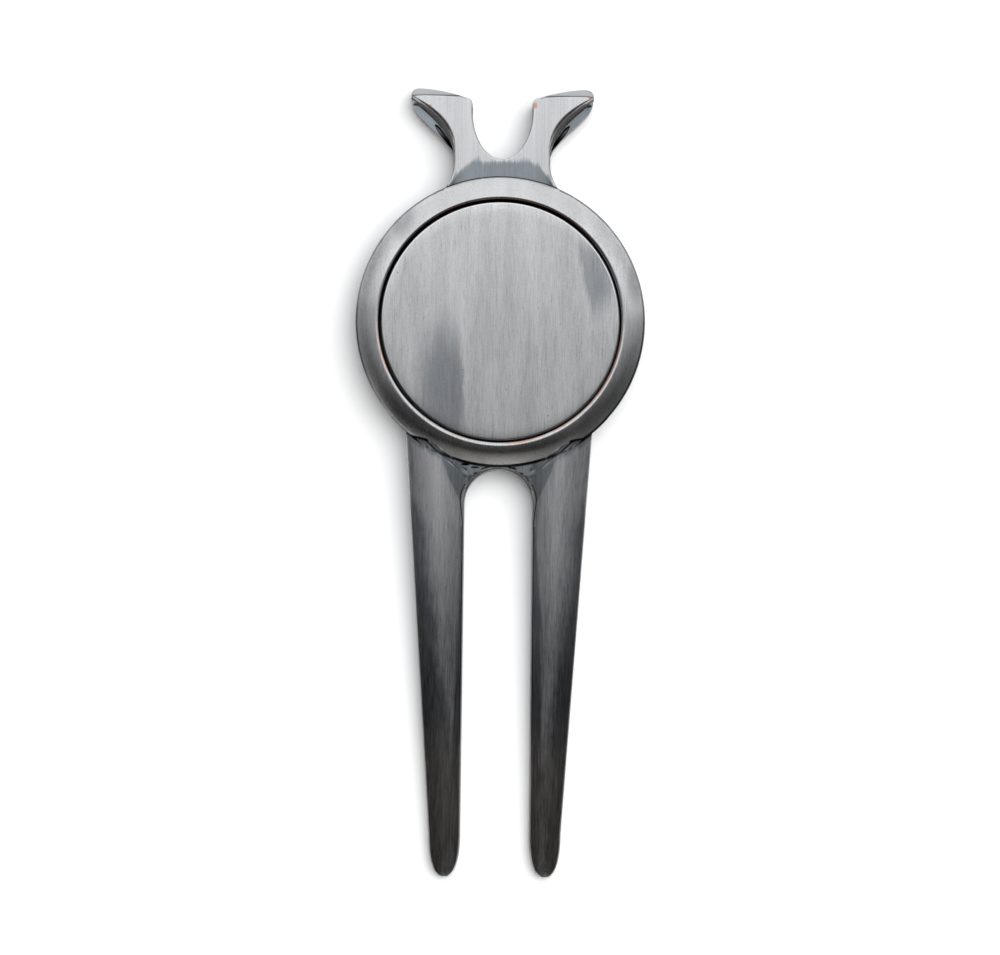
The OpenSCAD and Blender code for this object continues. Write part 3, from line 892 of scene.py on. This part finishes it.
glue = [[0, glue_low[2]], [GLUE_R - 0.1, glue_low[2]], [GLUE_R, glue_low[2] + 0.1], [GLUE_R, glue_high[2]]]
glue += [[GLUE_R - 0.03, glue_high[2] - 0.05]]
glue += [[MAGNET_R + 0.02, glue_high[2] - 0.1], [MAGNET_R + 0.02, magnet_low[2]]]
glue += [[r, magnet_low[2]] for r in np.linspace(MAGNET_R - 0.4, 0, 5)]
adhesive = revolve("adhesive_film", glue, 128)
smooth(adhesive, 32)

for piece, node, body, slot in (
    (tool, "tool_body", "tool", "brushed_nickel_casting"),
    (marker, "ball_marker", "marker", "brushed_nickel_marker"),
    (disc_magnet, "magnet", "tool", "magnet_plating"),
    (adhesive, "magnet_adhesive", "tool", "epoxy"),
):
    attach(piece, body)
    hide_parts(node)


# ---- materials ----


class Paint:
    """Builds one procedural material. Texture space is the piece's own, in millimetres."""

    def __init__(self, name, metallic):
        self.material = bpy.data.materials.new(name)
        self.material.use_nodes = True
        self.tree = self.material.node_tree
        self.shader = self.tree.nodes["Principled BSDF"]
        self.shader.inputs["Metallic"].default_value = metallic
        self.place = self.tree.nodes.new("ShaderNodeTexCoord").outputs["Object"]

    def node(self, kind, **sockets):
        """A new node with these sockets set, with _ for each space in a name."""
        made = self.tree.nodes.new("ShaderNode" + kind)
        for key, value in sockets.items():
            self.set(made, key.replace("_", " "), value)
        return made

    def set(self, node, socket, value):
        """Links a socket to another node's output, or gives it a fixed value."""
        if isinstance(value, bpy.types.NodeSocket):
            self.tree.links.new(value, node.inputs[socket])
        else:
            node.inputs[socket].default_value = value

    def noise(self, per_mm, detail=2.0, offset=0.0):
        """Noise between 0 and 1, with this many features a millimetre along X, Y and Z."""
        where = self.node("Mapping", Vector=self.place, Location=(offset, offset * 0.7, offset * 0.3))
        where.inputs["Scale"].default_value = [f / MM for f in per_mm]
        return self.node("TexNoise", Vector=where.outputs[0], Scale=1.0, Detail=detail).outputs["Fac"]

    def spot(self, centre, half_size):
        """1 at the centre of an ellipsoid in millimetres, falling to 0 at its edge."""
        where = self.node("Mapping", Vector=self.place)
        where.vector_type = "TEXTURE"
        where.inputs["Location"].default_value = [c * MM for c in centre]
        where.inputs["Scale"].default_value = [h * MM for h in half_size]
        ball = self.node("TexGradient", Vector=where.outputs[0])
        ball.gradient_type = "SPHERICAL"
        return ball.outputs["Fac"]

    def beyond(self, end_x, side, lean, ragged):
        """1 to the right (side 1) or left (side -1) of a ragged line, and 0 beyond it. The line is at
        x = end_x where y is 0, in millimetres, and goes left by lean a millimetre upwards."""
        axes = self.node("SeparateXYZ", Vector=self.place)
        across = self.madd(axes.outputs["Y"], lean, axes.outputs["X"])
        across = self.madd(ragged, 1.6 * MM, across)
        low, high = (end_x + 0.8 - 0.35) * MM, (end_x + 0.8 + 0.35) * MM
        return self.step(across, low, high, (1 - side) / 2, (1 + side) / 2)

    def mask(self, name):
        wanted = self.node("Attribute")
        wanted.attribute_name = name
        return wanted.outputs["Fac"]

    def calc(self, operation, a, b=0.5, c=0.5):
        made = self.node("Math")
        made.operation = operation
        for socket, value in enumerate((a, b, c)):
            self.set(made, socket, value)
        return made.outputs[0]

    def madd(self, value, times, plus):
        return self.calc("MULTIPLY_ADD", value, times, plus)

    def step(self, value, low, high, to_low=0.0, to_high=1.0):
        """Goes smoothly from to_low to to_high as value goes from low to high."""
        limits = {"From_Min": low, "From_Max": high, "To_Min": to_low, "To_Max": to_high}
        made = self.node("MapRange", Value=value, **limits)
        made.interpolation_type = "SMOOTHSTEP"
        return made.outputs[0]

    def mix(self, share, a, b):
        """Colour a where share is 0, and b where it is 1."""
        made = self.node("Mix")
        made.data_type = "RGBA"
        for socket, value in ((0, share), (6, a), (7, b)):
            self.set(made, socket, (*value, 1) if isinstance(value, tuple) else value)
        return made.outputs[2]

    def brushed(self, anisotropic):
        """Stretches reflections across the brushing, which runs along Y."""
        self.shader.inputs["Anisotropic"].default_value = anisotropic
        across = self.node("Tangent")
        across.direction_type = "UV_MAP"
        across.uv_map = "flat"
        self.set(self.shader, "Tangent", across.outputs[0])

    def bump(self, height, depth_mm):
        made = self.node("Bump", Height=height, Distance=depth_mm * MM)
        made.inputs["Strength"].default_value = 1.0
        self.set(self.shader, "Normal", made.outputs[0])


COPPER = (0.68, 0.37, 0.27)
# White of the painted highlight along the marker's top rim.
HIGHLIGHT_WHITE = (0.97, 0.97, 0.97)
SATIN = (0.39, 0.43, 0.455)
UMBER = (0.42, 0.395, 0.37)
# Near black that painted shade, pits and flaws darken the colour towards.
PIT_AND_SHADE_BLACK = (0.006, 0.006, 0.007)


class Marks:
    """The noises and masks that an aged surface's parts share. stretch is how short the brushing is."""

    def __init__(self, paint, stretch):
        self.grain = paint.noise((10.0, 0.15 * stretch, 10.0), 3.0, 3.0)
        self.hairline = paint.noise((22.0, 0.35 * stretch, 22.0), 2.0, 9.0)
        self.speck = paint.noise((12.0, 9.0, 12.0), 1.0, 1.0)
        self.streak = paint.noise((2.2, 0.05 * stretch, 2.2), 3.0, 6.0)
        self.broad = paint.noise((0.5, 0.06, 0.5), 2.0, 5.0)
        self.blotch = paint.noise((1.3, 0.9, 1.3), 4.0, 2.0)
        self.pit = paint.step(paint.noise((3.2, 2.6, 3.2), 1.0, 7.0), 0.8, 0.82)
        self.streaky = paint.mask("streaky")
        self.lined = paint.mask("lined")
        self.tone = paint.mask("tone")


def polished_share(paint, marks, patches):
    """1 where it is polished, and less on dark plating and tarnished patches."""
    rub = paint.madd(marks.grain, 0.8, -1.5)
    rub = paint.madd(marks.streak, 2.2, rub)
    rub = paint.calc("DIVIDE", rub, paint.madd(marks.lined, 2.0, 1.0))
    level = paint.calc("ADD", paint.mask("polish"), rub)
    level = paint.calc("ADD", level, paint.madd(marks.blotch, 0.4, -0.2))
    polished = paint.step(level, -0.3, 0.45)
    for centre, size, strength, *end in patches:
        spot = paint.calc("MULTIPLY", paint.spot(centre, size), paint.beyond(*end, marks.hairline))
        spot = paint.madd(marks.grain, 0.9, spot)
        spot = paint.madd(marks.hairline, 0.8, spot)
        polished = paint.calc("MULTIPLY", polished, paint.step(spot, 0.9, 1.5, 1.0, 1.0 - strength))
    return polished


def brushed_shade(paint, marks, streaks):
    """What the brushing and the painted sheen multiply the colour by. streaks is how strong the long
    streaks are.
    """
    shade = -1.25 - 0.5 * streaks
    for noise, share in zip((marks.grain, marks.hairline, marks.speck), (0.6, 0.9, 0.5)):
        shade = paint.madd(noise, share, shade)
    shade = paint.madd(marks.broad, 0.5, paint.madd(marks.streak, streaks, shade))
    # Painted sheen and painted shade from the mask brighten or dull the whole shade.
    shade = paint.madd(shade, marks.streaky, paint.calc("ADD", paint.mask("fresh"), 1.0))
    lines = paint.calc("SUBTRACT", paint.noise((6.0, 0.02, 6.0), 3.0, 11.0), 0.5)
    return paint.madd(lines, marks.lined, shade)


def metal_color(paint, marks, polished, shade, bright, dark, brown):
    """Bright where it is polished, toned plating elsewhere, copper where it is worn, and the painted
    highlight's white where the tone passes 1.2.
    """
    plated = paint.mix(paint.step(marks.blotch, 0.52, 0.75), dark, brown)
    plated = paint.mix(paint.step(marks.tone, 0.0, 1.0), plated, SATIN)
    plated = paint.mix(paint.step(marks.tone, -1.0, 0.0, 1.0, 0.0), plated, UMBER)
    tint = paint.node("VectorMath")
    tint.operation = "SCALE"
    paint.set(tint, 0, paint.mix(polished, plated, bright))
    paint.set(tint, 3, shade)
    wear = paint.noise((0.14, 0.14, 0.14), 3.0, 4.0)
    for noise, share in ((marks.blotch, 0.25), (paint.mask("rim"), 0.4), (marks.speck, 0.2)):
        wear = paint.madd(noise, share, wear)
    color = paint.mix(paint.step(wear, 1.03, 1.13), tint.outputs[0], COPPER)
    # Painted highlight: a tone past 1.2 turns the colour white.
    return paint.mix(paint.step(marks.tone, 1.2, 2.0), color, HIGHLIGHT_WHITE)


def antique_nickel(name, bright, dark, brown, streaks, stretch, patches, flaws=()):
    """Brushed nickel over copper: polished on the high areas, painted shade in the hollows and gaps, worn
    along the rims.

    Each patch is a tarnished ellipse: its centre, half sizes and strength, and the line that it ends at on
    one side. Each flaw is a dark mark: its centre and half sizes.
    """
    paint = Paint(name, 1.0)
    marks = Marks(paint, stretch)
    polished = polished_share(paint, marks, patches)
    shade = brushed_shade(paint, marks, streaks)
    color = metal_color(paint, marks, polished, shade, bright, dark, brown)
    # Painted shade from the mask, together with the real pits and flaws, darkens the colour.
    shade_and_pits = paint.calc("MAXIMUM", paint.mask("hollow"), paint.calc("MULTIPLY", marks.pit, 0.75))
    for centre, size in flaws:
        flaw = paint.madd(marks.blotch, 0.8, paint.spot(centre, size))
        shade_and_pits = paint.calc("MAXIMUM", shade_and_pits, paint.step(flaw, 0.6, 0.75))
    paint.set(paint.shader, "Base Color", paint.mix(paint.step(shade_and_pits, 0.25, 0.85), color, PIT_AND_SHADE_BLACK))
    rough = paint.madd(marks.grain, 0.16, paint.step(polished, 0.0, 1.0, 0.24, 0.22))
    paint.set(paint.shader, "Roughness", paint.madd(shade_and_pits, 0.3, rough))
    paint.brushed(0.6)
    scratches = paint.madd(marks.hairline, 0.5, marks.grain)
    scratches = paint.calc("MULTIPLY", scratches, paint.step(polished, 0.0, 1.0, 0.35, 1.0))
    scratches = paint.calc("MULTIPLY", scratches, marks.streaky)
    paint.bump(paint.madd(marks.pit, -2.0, scratches), 0.006)
    return paint.material


def finish_of(piece, material):
    piece.data.materials.clear()
    piece.data.materials.append(material)


dark, brown = (0.225, 0.233, 0.245), (0.225, 0.21, 0.195)
smudges = [
    ((-10.4, 10.6, 4), (1.9, 3.0, 4), 0.4, -20, 1, 0.0),
    ((14.2, 4.4, 4), (1.4, 3.2, 4), 0.5, 20, -1, 0.0),
]
flaws = [
    ((-3.5, -15.0, 3.4), (0.65, 0.17, 2)),
    ((-2.5, -15.3, 3.4), (0.6, 0.14, 2)),
    ((1.4, -15.35, 3.4), (0.5, 0.12, 2)),
]
bright = (0.672, 0.676, 0.68)
casting = antique_nickel("brushed_nickel_casting", bright, dark, brown, 0.2, 0.5, smudges, flaws)
patches = [
    ((-5.5, -7.2, 4.6), (4.0, 9.6, 3), 0.85, -4.1, -1, 0.06),
    ((9.6, 5.0, 4.6), (3.8, 5.8, 3), 0.8, 9.6, 1, 0.2),
]
dark, brown = (0.28, 0.3, 0.33), (0.28, 0.28, 0.28)
bright = (0.635, 0.64, 0.635)
coin = antique_nickel("brushed_nickel_marker", bright, dark, brown, 0.2, 1.5, patches)
finish_of(tool, casting)
finish_of(marker, coin)

plating = Paint("magnet_plating", 1.0)
swirl = plating.noise((1.2, 1.2, 1.2), 4.0)
nickel = plating.mix(plating.step(swirl, 0.35, 0.7), (0.6, 0.59, 0.56), (0.56, 0.55, 0.52))
plating.set(plating.shader, "Base Color", nickel)
plating.set(plating.shader, "Roughness", plating.step(swirl, 0.3, 0.7, 0.18, 0.24))
plating.bump(plating.noise((5.0, 5.0, 5.0), 2.0, 3.0), 0.004)
finish_of(disc_magnet, plating.material)

epoxy = Paint("epoxy", 0.0)
cloud = epoxy.noise((0.9, 0.9, 0.9), 3.0)
amber = epoxy.mix(epoxy.step(cloud, 0.3, 0.7), (0.34, 0.27, 0.13), (0.47, 0.4, 0.22))
epoxy.set(epoxy.shader, "Base Color", amber)
epoxy.set(epoxy.shader, "Roughness", epoxy.step(cloud, 0.3, 0.7, 0.18, 0.35))
epoxy.bump(cloud, 0.02)
finish_of(adhesive, epoxy.material)

# ---- stage, light and camera ----

FLOOR_SPAN = 8.0
FLOOR_DROP = 0.00002  # keeps it just clear of the tool's back
floor_mesh = bpy.data.meshes.new("floor")
floor_corners = [(x * FLOOR_SPAN, y * FLOOR_SPAN, 0) for x, y in ((-1, -1), (1, -1), (1, 1), (-1, 1))]
floor_mesh.from_pydata(floor_corners, [], [(0, 1, 2, 3)])
floor = add_object("floor", floor_mesh)
floor.location.z = -FLOOR_DROP
paper = bpy.data.materials.new("pale_floor")
paper.use_nodes = True
paper_shader = paper.node_tree.nodes["Principled BSDF"]
paper_shader.inputs["Base Color"].default_value = (0.9, 0.9, 0.9, 1)
paper_shader.inputs["Roughness"].default_value = 0.9
paper_shader.inputs["Specular IOR Level"].default_value = 0.0
floor_mesh.materials.append(paper)

world = bpy.data.worlds.new("studio")
bpy.context.scene.world = world
world.use_nodes = True
SKY_PEAK = 1.4
# Brightness by how far a direction leans to +Y, from -1 to 1.
SKY_BY_Y = (
    (-1, 0.6), (-0.93, 0.52), (-0.86, 0.44), (-0.8, 0.36), (-0.74, 0.24), (-0.68, 0.09), (-0.64, 0.01),
    (-0.6, 0.003), (-0.55, 0.02), (-0.5, 0.08), (-0.43, 0.1), (-0.36, 0.1), (-0.32, 0.065), (-0.28, 0.012),
    (-0.23, 0.018), (-0.19, 0.07), (-0.15, 0.3), (-0.1, 0.52), (-0.04, 0.43), (0.02, 0.4), (0.06, 0.54),
    (0.1, 0.88), (0.14, 1.4), (0.2, 1.25), (0.3, 1.04), (1, 0.98),
)
# The light falls off to both sides, and sooner for directions that lean to -Y.
SIDE_BY_X = (
    (-1, 0.03), (-0.92, 0.12), (-0.8, 0.4), (-0.6, 0.9), (-0.4, 1), (0.4, 1), (0.7, 0.7), (1, 0.35),
)
LOW_BY_X = (
    (-1, 0.3), (-0.5, 0.35), (-0.2, 0.5), (-0.06, 1), (0.06, 1), (0.16, 0.6), (0.3, 0.35), (1, 0.3),
)
WARM, COLD, COOL = (1.0, 0.98, 0.94), (0.985, 0.985, 1.03), (0.985, 0.997, 1.015)


sky = world.node_tree
direction = sky.nodes.new("ShaderNodeTexCoord")
lean = sky.nodes.new("ShaderNodeSeparateXYZ")
sky.links.new(direction.outputs["Generated"], lean.inputs[0])


def ramp(axis, stops, tint=lambda place: (1, 1, 1)):
    """Brightness and tint by how far a direction leans along this axis."""
    spread = sky.nodes.new("ShaderNodeMapRange")
    spread.inputs["From Min"].default_value = -1.0
    sky.links.new(lean.outputs[axis], spread.inputs["Value"])
    made = sky.nodes.new("ShaderNodeValToRGB")
    sky.links.new(spread.outputs[0], made.inputs["Fac"])
    elements = made.color_ramp.elements
    while len(elements) < len(stops):
        elements.new(0.5)
    for element, (place, value) in zip(elements, stops):
        element.position = (place + 1) / 2
        element.color = (*(value * t for t in tint(place)), 1)
    return made.outputs["Color"]


def product(a, b):
    made = sky.nodes.new("ShaderNodeMix")
    made.data_type = "RGBA"
    made.blend_type = "MULTIPLY"
    made.inputs["Factor"].default_value = 1.0
    sky.links.new(a, made.inputs[6])
    sky.links.new(b, made.inputs[7])
    return made


def tint_at(y):
    return WARM if y < -0.35 else COLD if y < 0 else COOL


light = ramp("Y", [(y, value / SKY_PEAK) for y, value in SKY_BY_Y], tint_at)
light = product(light, ramp("X", SIDE_BY_X)).outputs[2]
low_light = product(light, ramp("X", LOW_BY_X))
sky.links.new(ramp("Y", ((-0.6, 1.0), (-0.12, 1.0), (0.0, 0.0))), low_light.inputs["Factor"])
background = sky.nodes["Background"]
sky.links.new(low_light.outputs[2], background.inputs["Color"])
background.inputs["Strength"].default_value = SKY_PEAK

KEY_PLACE, KEY_AIM = Vector((0.35, 0.12, 0.79)), Vector((0, -0.016, 0))
lamp = bpy.data.lights.new("key", "AREA")
lamp.shape = "RECTANGLE"
lamp.size = lamp.size_y = 1.1
lamp.energy = 11.0
key = add_object("key", lamp)
key.location = KEY_PLACE
key.rotation_euler = (KEY_AIM - KEY_PLACE).to_track_quat("-Z", "Y").to_euler()
key.visible_glossy = False

CAMERA_HEIGHT = 0.27
CAMERA_ABOVE = (0.00016, -0.01635)
CAMERA_TURN = math.radians(0.64)
SENSOR_WIDTH = 36
VIEW_WIDTH = 0.1045  # what the picture spans at the height of the marker's face
camera_data = bpy.data.cameras.new("camera")
camera = add_object("camera", camera_data)
camera.location = (*CAMERA_ABOVE, CAMERA_HEIGHT)
camera.rotation_euler = (0, 0, CAMERA_TURN)
camera_data.sensor_width = SENSOR_WIDTH
camera_data.lens = SENSOR_WIDTH * (CAMERA_HEIGHT - MARKER_TOP * MM) / VIEW_WIDTH
camera_data.clip_start = 0.01
bpy.context.scene.camera = camera
bpy.context.scene.view_settings.view_transform = "Standard"
